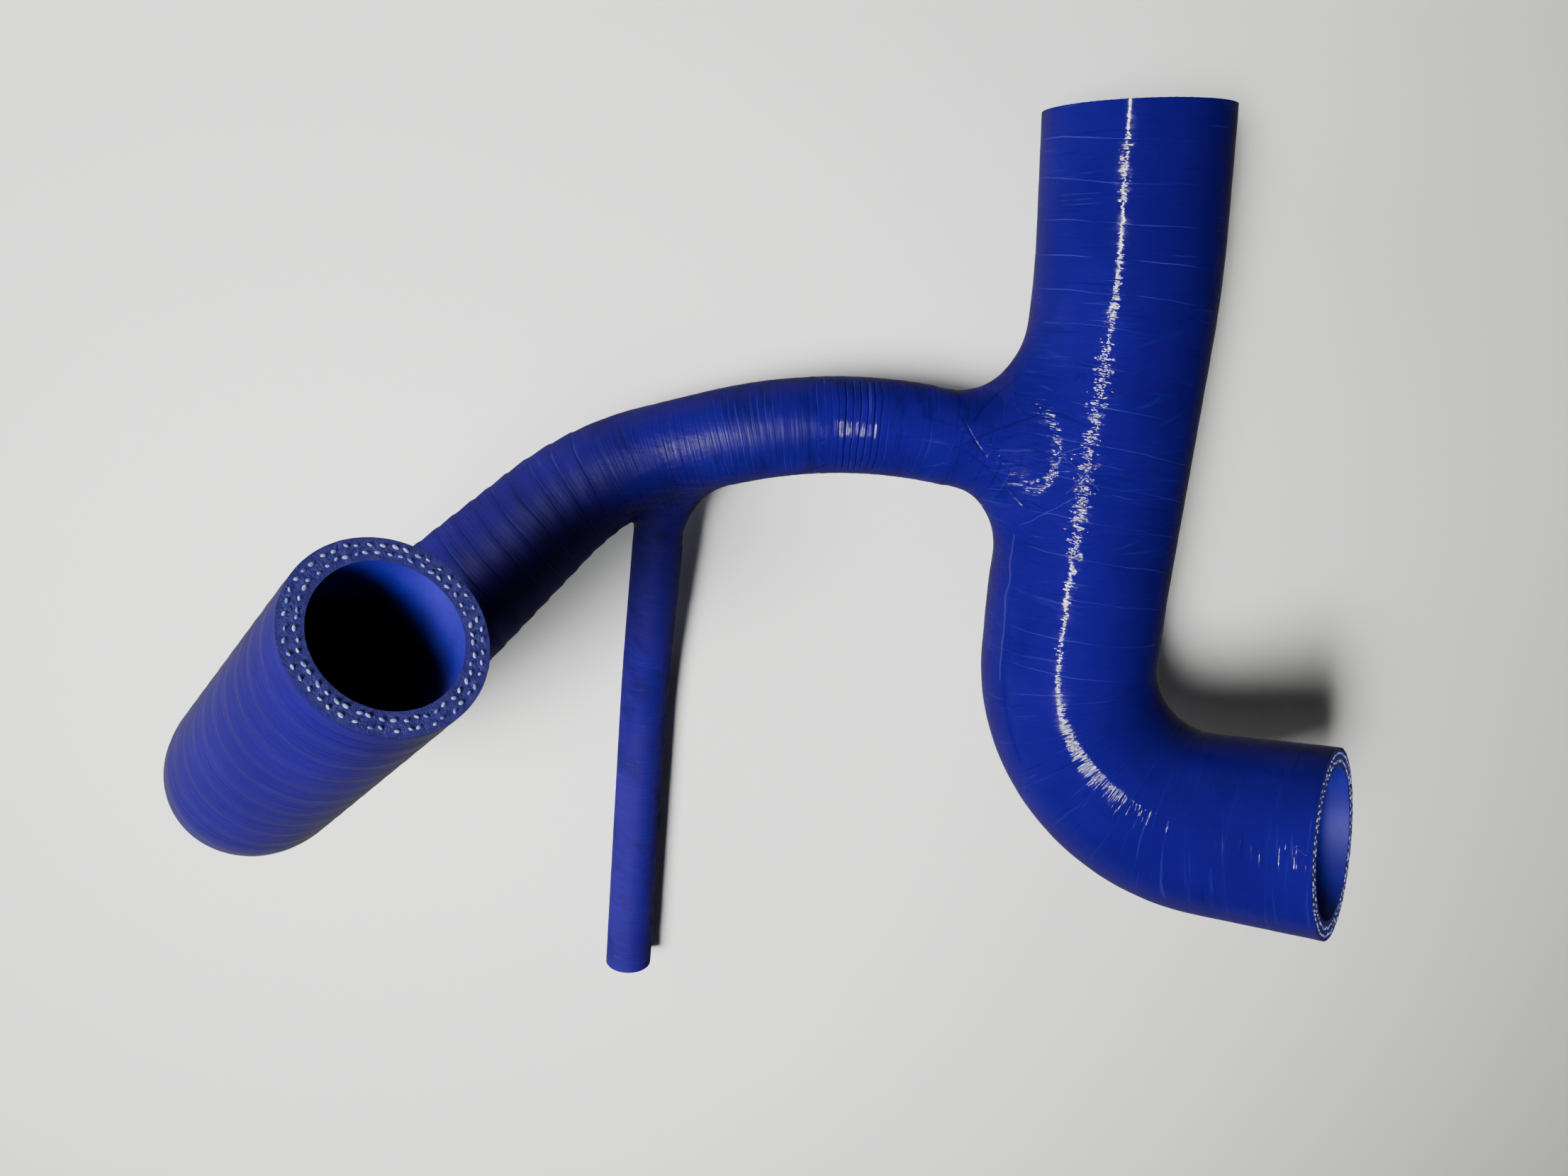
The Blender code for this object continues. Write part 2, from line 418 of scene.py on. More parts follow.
def new_group(
    name: str, inputs: dict[str, object], outputs: tuple[str, ...]
) -> tuple[NodeSheet, object, object]:
    """Makes an empty shader node group.

    Args:
        name: the group's name.
        inputs: each input's name and usual value; a tuple makes it a vector.
        outputs: the names of its number outputs.

    Returns:
        Its sheet, its input node's outputs and its output node's inputs.
    """
    tree = bpy.data.node_groups.new(name, "ShaderNodeTree")
    for label, value in inputs.items():
        kind = "NodeSocketVector" if isinstance(value, tuple) else "NodeSocketFloat"
        tree.interface.new_socket(label, in_out="INPUT", socket_type=kind).default_value = value
    for label in outputs:
        tree.interface.new_socket(label, in_out="OUTPUT", socket_type="NodeSocketFloat")
    sheet = NodeSheet(tree)
    return sheet, sheet.add("NodeGroupInput").outputs, sheet.add("NodeGroupOutput").inputs


def new_material(name: str) -> tuple[bpy.types.Material, bpy.types.Node]:
    """Makes a material and returns it with its shader node."""
    made = bpy.data.materials.new(name)
    made.use_nodes = True
    return made, made.node_tree.nodes["Principled BSDF"]


def tape_wrap_group() -> bpy.types.NodeTree:
    """Builds the group of wound tape edges.

    Returns:
        A group that puts out the thin edge lines and the height of the overlaps.
    """
    inputs = {"Straight": (0.0, 0.0, 0.0), "Pitch": 8.0, "Climb": 0.07, "Waver": 1.0,
              "Line": 0.2, "Seed": 0.0}
    waver_scale, spot_scale, turn_gap, seen_low, seen_high = 0.06, 0.07, 3.7, 0.42, 0.62
    sheet, given, made = new_group("tape_wrap", inputs, ("Edge", "Step"))
    parts = sheet.split(given["Straight"])
    waver = sheet.math("SUBTRACT", sheet.noise(given["Straight"], waver_scale), 0.5)
    along = sheet.math("MULTIPLY_ADD", waver, given["Waver"], parts[2])
    turned = sheet.math("DIVIDE", sheet.math("ARCTAN2", parts[1], parts[0]), math.tau)
    turns = sheet.math("ADD", sheet.math("DIVIDE", along, given["Pitch"]), turned)
    share = sheet.math("FRACT", turns)
    gap = sheet.math("SUBTRACT", 0.5, sheet.math("ABSOLUTE", sheet.math("SUBTRACT", share, 0.5)))
    line = sheet.math("DIVIDE", sheet.times(gap, given["Pitch"]), given["Line"])
    edge = sheet.ramp(line, 0.0, 1.0, 1.0, 0.0)
    row = sheet.math("MULTIPLY_ADD", sheet.math("FLOOR", turns), turn_gap, given["Seed"])
    spot = sheet.joined(sheet.times(parts[0], spot_scale), sheet.times(parts[1], spot_scale), row)
    seen = sheet.ramp(sheet.noise(spot, 1.0), seen_low, seen_high)
    sheet.feed(made["Edge"], sheet.times(edge, seen))
    climb = sheet.ramp(share, 0.0, given["Climb"])
    sheet.feed(made["Step"], sheet.times(climb, sheet.math("SUBTRACT", 1.0, share)))
    return sheet.tree


def hairline_group() -> bpy.types.NodeTree:
    """Builds the group of fine lines that run round a leg.

    Returns:
        A group that puts out light lines, dark lines and their height.
    """
    inputs = {"Straight": (0.0, 0.0, 0.0), "Fineness": 1.2, "Length": 0.05, "Seed": 0.0}
    light_steps, dark_steps, detail, rough = (0.63, 0.74), (0.38, 0.28), 3.0, 0.6
    sheet, given, made = new_group("round_hairlines", inputs, ("Light", "Dark", "Height"))
    parts = sheet.split(given["Straight"])
    row = sheet.math("MULTIPLY_ADD", parts[2], given["Fineness"], given["Seed"])
    length = given["Length"]
    drawn = sheet.joined(sheet.times(parts[0], length), sheet.times(parts[1], length), row)
    value = sheet.noise(drawn, 1.0, detail, rough)
    sheet.feed(made["Light"], sheet.ramp(value, *light_steps))
    sheet.feed(made["Dark"], sheet.ramp(value, *dark_steps))
    sheet.feed(made["Height"], sheet.math("SUBTRACT", value, 0.5))
    return sheet.tree


def line_mark_group() -> bpy.types.NodeTree:
    """Builds the group of one straight mark, seen from above; it draws the painted fold shade and the
    scratches with their painted glints.

    Returns:
        A group that puts out the mark.
    """
    inputs = {"Place": (0.0, 0.0, 0.0), "Start": (0.0, 0.0, 0.0), "Way": (1.0, 0.0, 0.0),
              "Width": 0.3}
    sheet, given, made = new_group("line_mark", inputs, ("Mark",))
    way = given["Way"]
    off = sheet.vector("SUBTRACT", given["Place"], given["Start"])
    reach = sheet.vector("DOT_PRODUCT", off, way, output="Value")
    share = sheet.math("DIVIDE", reach, sheet.vector("DOT_PRODUCT", way, way, output="Value"))
    share = sheet.math("MINIMUM", sheet.math("MAXIMUM", share, 0.0), 1.0)
    foot = sheet.scaled(way, sheet.joined(share, share, share))
    gap = sheet.vector("DISTANCE", off, foot, output="Value")
    sheet.feed(made["Mark"], sheet.ramp(sheet.math("DIVIDE", gap, given["Width"]), 0.0, 1.0, 1.0, 0.0))
    return sheet.tree


@dataclass(frozen=True)
class Winding:
    """One winding of tape round a leg, and how strongly its edges and steps show.

    Pitch, waver, line and step are in millimetres; climb is the share of a turn over
    which an overlap rises.
    """

    leg: str
    pitch: float
    climb: float
    waver: float
    line: float
    seed: float
    edge: float
    step: float


@dataclass(frozen=True)
class Hairlines:
    """One set of fine lines: how close they lie, how quickly they end, and its seed."""

    fineness: float
    length: float
    seed: float


WINDINGS = {
    "main": Winding("main", 8.0, 0.07, 2.0, 0.22, seed=1.0, edge=1.0, step=0.05),
    "coarse": Winding("branch", 4.6, 0.12, 1.6, 0.26, seed=9.0, edge=1.0, step=0.06),
    "dense": Winding("branch", 1.45, 0.25, 2.6, 0.16, seed=5.0, edge=0.65, step=0.03),
    "soft": Winding("branch", 6.2, 0.10, 1.0, 0.40, seed=13.0, edge=0.08, step=0.03),
    "thin": Winding("thin", 2.4, 0.10, 0.6, 0.18, seed=21.0, edge=0.5, step=0.04),
}
HAIRLINES = {
    "main": Hairlines(1.1, 0.045, 0.0),
    "branch": Hairlines(1.3, 0.05, 40.0),
    "thin": Hairlines(1.4, 0.08, 80.0),
}
HAIR_OUTPUTS = ("Light", "Dark", "Height")


@dataclass
class SkinSheet(NodeSheet):
    """The skin's node tree, with the places and the shares that its patterns need.

    The pairs say between which distances along the branch a share steps up.
    """

    dense_from: Pair = (34.0, 46.0)
    dense_to: Pair = (118.0, 104.0)
    soft_from: Pair = (205.0, 225.0)

    def __post_init__(self) -> None:
        """Adds the groups and the nodes that read the places and the shares."""
        self.wrap, self.hair, self.line_mark = tape_wrap_group(), hairline_group(), line_mark_group()
        self.place = self.object_place()
        self.straight = {leg.name: self.attribute(f"straight_{leg.name}", "Vector") for leg in LEGS}
        self.along_main = self.split(self.straight["main"])[2]
        self.along_branch = self.split(self.straight["branch"])[2]
        self.on_branch = self.attribute("on_branch")
        self.on_thin = self.attribute("on_thin")
        self.crinkled = self.attribute("crinkled")
        self.in_dense = self.between(self.along_branch, self.dense_from, self.dense_to)
        self.in_soft = self.ramp(self.along_branch, *self.soft_from)

    def between(self, value: object, rising: Pair, falling: Pair) -> Socket:
        """Adds a soft step up and a soft step down and returns their product."""
        return self.times(self.ramp(value, *rising), self.ramp(value, *falling))

    def placed(self, group: bpy.types.NodeTree, feeds: dict[str, object]) -> object:
        """Places a node group, feeds it and returns its outputs."""
        return self.add("ShaderNodeGroup", feeds, node_tree=group).outputs

    def wound(self, tape: Winding) -> object:
        """Places one winding of tape and returns its outputs."""
        feeds = {"Straight": self.straight[tape.leg], "Pitch": tape.pitch, "Climb": tape.climb,
                 "Waver": tape.waver, "Line": tape.line, "Seed": tape.seed}
        return self.placed(self.wrap, feeds)

    def lined(self, straight: object, lines: Hairlines) -> object:
        """Places one set of fine lines and returns its outputs."""
        feeds = {"Straight": straight, "Fineness": lines.fineness, "Length": lines.length,
                 "Seed": lines.seed}
        return self.placed(self.hair, feeds)

    def marked(self, flat: object, marks: tuple[Mark, ...], shift: float, width: float) -> object:
        """Draws straight marks.

        Args:
            flat: the place seen from above, in millimetres.
            marks: each mark's start and end, as (x, y, x, y).
            shift: how far the marks are moved along X and Y, against the wobble's own.
            width: how far a mark reaches to each side.

        Returns:
            The strongest of the marks.
        """
        drawn = []
        for x, y, end_x, end_y in marks:
            start, way = (x + shift, y + shift, 0.0), (end_x - x, end_y - y, 0.0)
            feeds = {"Place": flat, "Start": start, "Way": way, "Width": width}
            drawn.append(self.placed(self.line_mark, feeds)["Mark"])
        return self.highest(*drawn)

    def by_leg(self, main: object, branch: object, thin: object) -> Socket:
        """Joins three values into one, each on its own leg, and returns it."""
        return self.blend(self.on_thin, self.blend(self.on_branch, main, branch), thin)

    def by_winding(self, values: dict[str, object]) -> Socket:
        """Joins the five windings' values into one, each in its own part, and returns it."""
        branch = self.blend(self.in_dense, values["coarse"], values["dense"])
        branch = self.blend(self.in_soft, branch, values["soft"])
        return self.by_leg(values["main"], branch, values["thin"])


@dataclass(frozen=True)
class Patterns:
    """What is drawn on the skin: masks, and heights in millimetres."""

    edges: object
    steps: object
    fine: dict[str, object]
    folds: dict[str, object]
    fold_shade: object
    scratch_glints: object
    crease_shade: object


@dataclass(frozen=True)
class WrappedSilicone:
    """The outside: glossy blue rubber with the marks of the tape it was cured in, with painted shade in its
    folds and creases and painted highlights on its crinkled film.

    A fade holds two distances along a leg and the values at them.
    """

    blue: Colour = (0.0075, 0.0001, 0.102, 1.0)
    deep_blue: Colour = (0.0045, 0.0001, 0.066, 1.0)
    edge_and_glint_blue: Colour = (0.045, 0.055, 0.300, 1.0)
    dark: Colour = (0.003, 0.001, 0.045, 1.0)
    roughness: float = 0.05
    refraction: float = 1.33
    fillet_dullness: float = 0.05
    thin_dullness: float = 0.24
    light_dullness: float = 0.25
    film_from: Pair = (56.0, 70.0)
    film_fade: Fade = (95.0, 125.0, 0.28, 0.50)
    main_edge_fade: Fade = (110.0, 145.0, 0.9, 0.3)
    ridges_from: Pair = (50.0, 54.0)
    ridges_to: Pair = (63.0, 60.0)
    ridge_height: float = 0.30
    # Dark lines along the folds at the T: painted shade in the fold creases.
    folds: tuple[Mark, ...] = (
        (38.2, 38.4, 51.0, 48.0), (38.1, 35.1, 53.2, 40.7), (39.3, 32.2, 50.6, 21.4),
        (36.6, 40.8, 41.8, 32.1),
    )
    fold_shade_width: float = 0.36
    # Light marks drawn in the lighter blue: painted highlights on the crumpled film at the T and a painted
    # glint on the elbow, plus faint seam lines down the main leg.
    scratches_and_glints: tuple[Mark, ...] = (
        (55.1, 31.3, 63.9, 36.0), (55.7, 34.7, 58.1, 31.1), (57.9, 24.4, 63.9, 31.5),
        (57.8, 31.9, 63.8, 25.8), (50.3, 17.0, 63.9, 26.9), (49.5, 14.2, 47.9, -1.0),
        (47.9, -1.0, 46.9, -18.5), (92.8, -38.8, 94.3, -39.7),
    )
    scratch_glint_width: float = 0.18
    wobble: float = 1.6
    wobble_scale: float = 0.12
    # Painted shade: dark rings along the creases round the branch.
    creases: Pair = (34.6, 67.3)
    crease_waver: float = 3.0
    crease_scale: float = 0.10
    crease_width: float = 0.50
    crease_shade_strength: float = 0.7
    crossing_turns: tuple[Triple, ...] = ((1.2, 0.3, 0.5), (1.35, -0.2, -0.75), (1.57, 0.0, 1.1))
    crossing_lines: Hairlines = Hairlines(0.75, 0.05, 13.0)
    cloud: Blotches = Blotches(0.045, 0.35, 0.65, 0.6)
    blot: Blotches = Blotches(0.11, 0.66, 0.74, 0.45, 4.0, 0.65)
    wear: Blotches = Blotches(0.25, 0.4, 0.7, 0.06)
    stain: Blotches = Blotches(0.16, 0.50, 0.66, 1.0, 4.0, 0.62)
    stain_stretch: Triple = (0.5, 0.5, 1.6)
    stain_shares: Pair = (0.55, 0.15)
    dark_share: float = 0.50
    edge_share: float = 0.34
    fine_share: float = 0.16
    mark_share: float = 0.22
    fine_height: float = 0.14
    fold_height: float = 0.26
    mark_height: float = 0.10
    swell_height: float = 0.06
    swell_scale: float = 0.16
    ruffle_stretch: Triple = (0.30, 0.30, 1.1)
    ruffle_patches: Blotches = Blotches(0.06, 0.40, 0.62, 0.20, 2.0)
    ruffle_patch_stretch: Triple = (0.2, 0.2, 1.0)
    ruffle_crinkled: float = 0.20
    ruffle_least: float = 0.04
    ruffle_fade: Fade = (118.0, 142.0, 1.0, 0.1)

    def material(self) -> bpy.types.Material:
        """Builds the material.

        Returns:
            The finish of the outside of all three legs.
        """
        made, shader = new_material("blue_silicone_skin")
        sheet = SkinSheet(made.node_tree)
        drawn = self.patterns(sheet)
        # The lighter blue goes on the tape edges, fine lines and crinkle lines, which are the rubber's own,
        # and on the scratch marks, which are partly painted highlights.
        light = sheet.highest(
            sheet.times(drawn.edges, self.edge_share),
            sheet.times(drawn.fine["Light"], self.fine_share),
            sheet.times(drawn.scratch_glints, self.mark_share),
            sheet.times(drawn.folds["Light"], self.mark_share),
        )
        sheet.feed(shader.inputs["Base Color"], self.colour(sheet, drawn, light))
        sheet.feed(shader.inputs["Roughness"], self.dullness(sheet, light))
        sheet.feed(shader.inputs["Normal"], sheet.bumped(self.height(sheet, drawn), MM))
        shader.inputs["IOR"].default_value = self.refraction
        return made

    def patterns(self, sheet: SkinSheet) -> Patterns:
        """Draws the tape, the fine lines, the crinkles, the painted shade in the folds and creases, and the
        scratches with their painted glints, and returns them.
        """
        wound = {name: sheet.wound(tape) for name, tape in WINDINGS.items()}
        edges = {name: sheet.times(wound[name]["Edge"], tape.edge) for name, tape in WINDINGS.items()}
        steps = {name: sheet.times(wound[name]["Step"], tape.step) for name, tape in WINDINGS.items()}
        edges["main"] = sheet.times(edges["main"], sheet.ramp(sheet.along_main, *self.main_edge_fade))
        ridged = sheet.between(sheet.along_branch, self.ridges_from, self.ridges_to)
        ridges = sheet.times(wound["dense"]["Step"], ridged)
        steps["dense"] = sheet.math("MULTIPLY_ADD", ridges, self.ridge_height, steps["dense"])

        lined = [sheet.lined(sheet.straight[leg.name], HAIRLINES[leg.name]) for leg in LEGS]
        fine = {key: sheet.by_leg(*(lines[key] for lines in lined)) for key in HAIR_OUTPUTS}

        flat = sheet.scaled(sheet.place, (1.0, 1.0, 0.0))
        feeds = {"Vector": flat, "Scale": self.wobble_scale, "Detail": 1.0}
        wobble = sheet.add("ShaderNodeTexNoise", feeds).outputs["Color"]
        flat = sheet.vector("ADD", flat, sheet.scaled(wobble, (self.wobble, self.wobble, 0.0)))
        fold_shade = sheet.marked(flat, self.folds, self.wobble / 2.0, self.fold_shade_width)
        scratch_glints = sheet.marked(flat, self.scratches_and_glints, self.wobble / 2.0, self.scratch_glint_width)
        return Patterns(sheet.by_winding(edges), sheet.by_winding(steps), fine,
                        self.crossing(sheet), fold_shade, scratch_glints, self.crease_shade(sheet))

    def crossing(self, sheet: SkinSheet) -> dict[str, object]:
        """Crosses fine lines of several ways where the skin is crinkled.

        Args:
            sheet: where the nodes go.

        Returns:
            Their light lines, dark lines and height; the last way has no dark lines.
        """
        crossing = []
        for index, turn in enumerate(self.crossing_turns):
            turned = sheet.add("ShaderNodeMapping", {"Vector": sheet.place, "Rotation": turn}).outputs[0]
            lines = replace(self.crossing_lines, seed=self.crossing_lines.seed * index)
            crossing.append(sheet.lined(turned, lines))
        height = crossing[0]["Height"]
        for lines in crossing[1:]:
            height = sheet.math("ADD", height, lines["Height"])
        folds = {
            "Light": sheet.highest(*(lines["Light"] for lines in crossing)),
            "Dark": sheet.highest(*(lines["Dark"] for lines in crossing[:-1])),
            "Height": height,
        }
        return {key: sheet.times(value, sheet.crinkled) for key, value in folds.items()}

    def crease_shade(self, sheet: SkinSheet) -> Socket:
        """Paints shade along the creases round the branch and returns how dark it is."""
        waver = sheet.noise(sheet.place, self.crease_scale, 1.0)
        waver = sheet.math("MULTIPLY_ADD", waver, self.crease_waver, -self.crease_waver / 2.0)
        rings = []
        for crease in self.creases:
            off = sheet.math("ADD", sheet.math("SUBTRACT", sheet.along_branch, crease), waver)
            ring = sheet.ramp(sheet.math("ABSOLUTE", off), 0.0, self.crease_width, 1.0, 0.0)
            rings.append(sheet.times(ring, sheet.on_branch, self.crease_shade_strength))
        return sheet.highest(*rings)

    def colour(self, sheet: SkinSheet, drawn: Patterns, light: object) -> Socket:
        """Colours the skin.

        Args:
            sheet: where the nodes go.
            drawn: the drawn patterns.
            light: how strongly the light lines and the painted glints show.

        Returns:
            The colour.
        """
        colour = sheet.mix(sheet.blotched(sheet.place, self.cloud), self.blue, self.deep_blue)
        stained = sheet.blotched(sheet.scaled(sheet.straight["branch"], self.stain_stretch), self.stain)
        stained = sheet.times(stained, sheet.on_branch, sheet.blend(sheet.in_soft, *self.stain_shares))
        colour = sheet.mix(stained, colour, self.dark)
        # The dark lines: the rubber's fine and crinkle lines, and painted shade in the folds and along the
        # creases.
        dark = sheet.highest(drawn.fine["Dark"], drawn.folds["Dark"], drawn.fold_shade, drawn.crease_shade)
        colour = sheet.mix(sheet.times(dark, self.dark_share), colour, self.dark)
        colour = sheet.mix(light, colour, self.edge_and_glint_blue)
        return sheet.mix(sheet.blotched(sheet.place, self.blot), colour, self.dark)

    def dullness(self, sheet: SkinSheet, light: object) -> Socket:
        """Dulls the skin where it is worn or filmed over and returns its roughness."""
        film = sheet.ramp(sheet.along_branch, *self.film_fade)
        film = sheet.times(sheet.ramp(sheet.along_branch, *self.film_from), sheet.on_branch,
                           sheet.blend(sheet.in_soft, film, 0.0))
        rough = sheet.math("ADD", sheet.blotched(sheet.place, self.wear), film)
        rough = sheet.math("ADD", rough, self.roughness)
        rough = sheet.math("MULTIPLY_ADD", light, self.light_dullness, rough)
        rough = sheet.math("MULTIPLY_ADD", sheet.attribute("fillet"), self.fillet_dullness, rough)
        return sheet.math("MULTIPLY_ADD", sheet.on_thin, self.thin_dullness, rough)

    def height(self, sheet: SkinSheet, drawn: Patterns) -> Socket:
        """Joins the patterns' relief and returns its height in millimetres."""
        height = sheet.math("MULTIPLY_ADD", drawn.fine["Height"], self.fine_height, drawn.steps)
        height = sheet.math("MULTIPLY_ADD", drawn.folds["Height"], self.fold_height, height)
        ruffle = sheet.noise(sheet.scaled(sheet.straight["main"], self.ruffle_stretch), 1.0)
        patches = sheet.scaled(sheet.straight["main"], self.ruffle_patch_stretch)
        least = sheet.math("MULTIPLY_ADD", sheet.crinkled, self.ruffle_crinkled, self.ruffle_least)
        ruffled = sheet.math("ADD", sheet.blotched(patches, self.ruffle_patches), least)
        ruffled = sheet.times(ruffled, sheet.math("SUBTRACT", 1.0, sheet.on_branch),
                              sheet.ramp(sheet.along_main, *self.ruffle_fade))
        height = sheet.math("MULTIPLY_ADD", sheet.math("SUBTRACT", ruffle, 0.5), ruffled, height)
        marks = sheet.math("SUBTRACT", drawn.scratch_glints, drawn.fold_shade)
        height = sheet.math("MULTIPLY_ADD", marks, self.mark_height, height)
        swell = sheet.math("SUBTRACT", sheet.noise(sheet.place, self.swell_scale), 0.5)
        return sheet.math("MULTIPLY_ADD", swell, self.swell_height, height)


@dataclass(frozen=True)
class DullFinish:
    """A dull finish: soft patches of a second colour over a fine grain.

    The roughness follows the grain, or else the patches. Where plies are set, they
    are the patches' strength off and on the plies of fabric.
    """

    name: str
    ground: Colour
    patch: Colour
    patches: Blotches
    grain: Triple
    depth: float
    roughness: Pair
    follows_grain: bool = True
    plies: Pair | None = None

    def material(self) -> bpy.types.Material:
        """Builds the material.

        Returns:
            The finish.
        """
        made, shader = new_material(self.name)
        sheet = NodeSheet(made.node_tree)
        place = sheet.object_place()
        patches = sheet.blotched(place, self.patches)
        grain = sheet.noise(place, *self.grain)
        rough = sheet.blend(grain if self.follows_grain else patches, *self.roughness)
        if self.plies:
            patches = sheet.times(sheet.blend(sheet.attribute("ply"), *self.plies), patches)
        sheet.feed(shader.inputs["Base Color"], sheet.mix(patches, self.ground, self.patch))
        sheet.feed(shader.inputs["Roughness"], rough)
        sheet.feed(shader.inputs["Normal"], sheet.bumped(grain, self.depth * MM))
        return made


# The bore's blue is about twice as light as the skin's: painted light that stands for light glowing through
# the wall into the bore.
LINING = DullFinish(
    "blue_silicone_lining_painted_glow", (0.012, 0.003, 0.220, 1.0), (0.009, 0.002, 0.165, 1.0),
    Blotches(0.12, 0.3, 0.7, 1.0), grain=(1.6, 3.0, 0.5), depth=0.03, roughness=(0.52, 0.72),
)
CUT_RUBBER = DullFinish(
    "cut_rubber", (0.024, 0.020, 0.170, 1.0), (0.055, 0.055, 0.260, 1.0),
    Blotches(1.1, 0.40, 0.62, 1.0, 4.0, 0.65), grain=(2.2, 4.0, 0.7), depth=0.25,
    roughness=(0.55, 0.75), follows_grain=False, plies=(0.3, 0.9),
)
CUT_YARN = DullFinish(
    "cut_yarn", (0.26, 0.29, 0.62, 1.0), (0.06, 0.07, 0.36, 1.0),
    Blotches(0.55, 0.38, 0.66, 1.0), grain=(9.0, 2.0, 0.5), depth=0.06, roughness=(0.35, 0.65),
)


@dataclass(frozen=True)
class Wrap:
    """One winding's relief: its leg, its pitch and how high its overlaps stand."""

    leg: str
    pitch: float
    height: float
    climb: float = 0.15
    mean: float = 0.45
    waver: float = 0.4
    waver_turn: float = 0.21
    waver_run: float = 0.05


RELIEF = {
    "main": Wrap("main", 8.0, 0.05),
    "coarse": Wrap("branch", 4.6, 0.30),
    "dense": Wrap("branch", 3.1, 0.08),
    "soft": Wrap("branch", 6.2, 0.14),
    "thin": Wrap("thin", 2.4, 0.04),
}


@dataclass
class HoseBody:
    """The moulded hose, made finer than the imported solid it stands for."""

    voxel: float = 1.18
    extension: float = 3.0
    cut_reach: float = 9.0
    on_tube: float = 0.35
    off_tube: float = 0.80
    fillet_spread: int = 14
    smoothings: int = 60
    smoothing_pull: float = 0.6
    cut_margins: Pair = (6.0, 12.0)
    smooth_angle: float = math.radians(40.0)
    t_centre: Triple = (56.0, 31.0, 37.0)
    t_reach: float = 30.0
    flare_centre: Triple = (49.5, 33.0, 35.0)
    flare_reach: Triple = (7.5, 11.0, 7.0)
    flare_height: float = 2.1
    fork_centre: Triple = (-25.0, 24.0, 24.0)
    fork_reach: float = 15.0
    dense_from: Pair = (30.0, 46.0)
    dense_to: Pair = (104.0, 118.0)
    soft_from: Pair = (205.0, 225.0)
    coarse_from: Pair = (24.0, 40.0)
    branch_begins: Pair = (2.0, 7.0)
    thin_begins: Pair = (0.8, 3.0)
    merge: float = 0.01
    weld: float = 0.3
    wall_cuts: int = 3
    face_depth: float = 0.1
    face_margin: float = 0.5
    trim_margin: float = 3.0
    ply_depth: float = 0.05
    cut_depth: float = 0.2
    cut_facing: float = 0.7
    cut_margin: float = 1.0

    def build(self) -> bpy.types.Object:
        """Makes the finer hose, with its wraps, its crisp cuts and its finishes.

        Returns:
            The finished piece.
        """
        piece = self.copied()
        self.stretch_ends(piece)
        self.remesh(piece)
        self.true_up(piece)
        self.raise_wraps(piece)
        for cut in CUTS:
            self.trim(piece, cut)
        self.record_places(piece)
        self.dress(piece)
        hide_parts(NODE)
        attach(piece, BODY)
        return piece

    def copied(self) -> bpy.types.Object:
        """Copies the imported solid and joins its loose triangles."""
        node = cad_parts[NODE]
        piece = bpy.data.objects.new("wrapped_hose", node.data.copy())
        bpy.context.scene.collection.objects.link(piece)
        piece.data.materials.clear()
        choose_only(piece)
        bpy.ops.object.mode_set(mode="EDIT")
        bpy.ops.mesh.select_all(action="SELECT")
        bpy.ops.mesh.remove_doubles(threshold=self.merge * MM)
        bpy.ops.object.mode_set(mode="OBJECT")
        return piece

    def stretch_ends(self, piece: bpy.types.Object) -> None:
        """Moves each cut outwards, so that it can be trimmed crisply after remeshing."""
        places = places_of(piece.data)
        for cut in CUTS:
            off = places - cut.middle
            on_face = np.abs(off @ cut.way) < self.face_depth
            on_face &= np.linalg.norm(off, axis=1) < cut.outer + self.face_margin
            places[on_face] += cut.way * self.extension
        put_places(piece.data, places)

    def remesh(self, piece: bpy.types.Object) -> None:
        """Gives the hose even, fine faces."""
        choose_only(piece)
        remesher = piece.modifiers.new("even_faces", "REMESH")
        remesher.mode = "VOXEL"
        remesher.voxel_size = self.voxel * MM
        bpy.ops.object.modifier_apply(modifier=remesher.name)

    def true_up(self, piece: bpy.types.Object) -> None:
        """Moves the corners onto the true round legs, and smooths the fillets between them."""
        places = places_of(piece.data)
        targets, misses = [], []
        for leg in LEGS:
            reading = leg.read(places)
            ray = reading.off / np.maximum(reading.away, 1e-6)[:, None]
            for radius in (leg.outer(reading.along), leg.bore(reading.along)):
                targets.append(reading.feet + ray * radius[:, None])
                misses.append(np.abs(reading.away - radius))
        best = np.argmin(misses, axis=0)
        rows = np.arange(len(places))
        miss = np.array(misses)[best, rows]
        share = 1.0 - rise(miss, self.on_tube, self.off_tube)
        fitted = places + (np.array(targets)[best, rows] - places) * share[:, None]
        loose = 1.0 - self.averaged(piece.data, share, self.fillet_spread)
        loose = np.clip(loose * 2.0, 0.0, 1.0)
        for cut in CUTS:
            near, far = (cut.outer + margin for margin in self.cut_margins)
            loose *= rise(np.linalg.norm(places - cut.middle, axis=1), near, far)
        piece.data.attributes.new("fillet", "FLOAT", "POINT").data.foreach_set("value", loose)
        loose = loose[:, None]
        for _ in range(self.smoothings):
            pull = self.averaged(piece.data, fitted, 1) - fitted
            fitted += pull * loose * self.smoothing_pull
        off = (fitted - self.flare_centre) / self.flare_reach
        fitted[:, 2] += self.flare_height * np.exp(-(off**2).sum(1))
        put_places(piece.data, fitted)

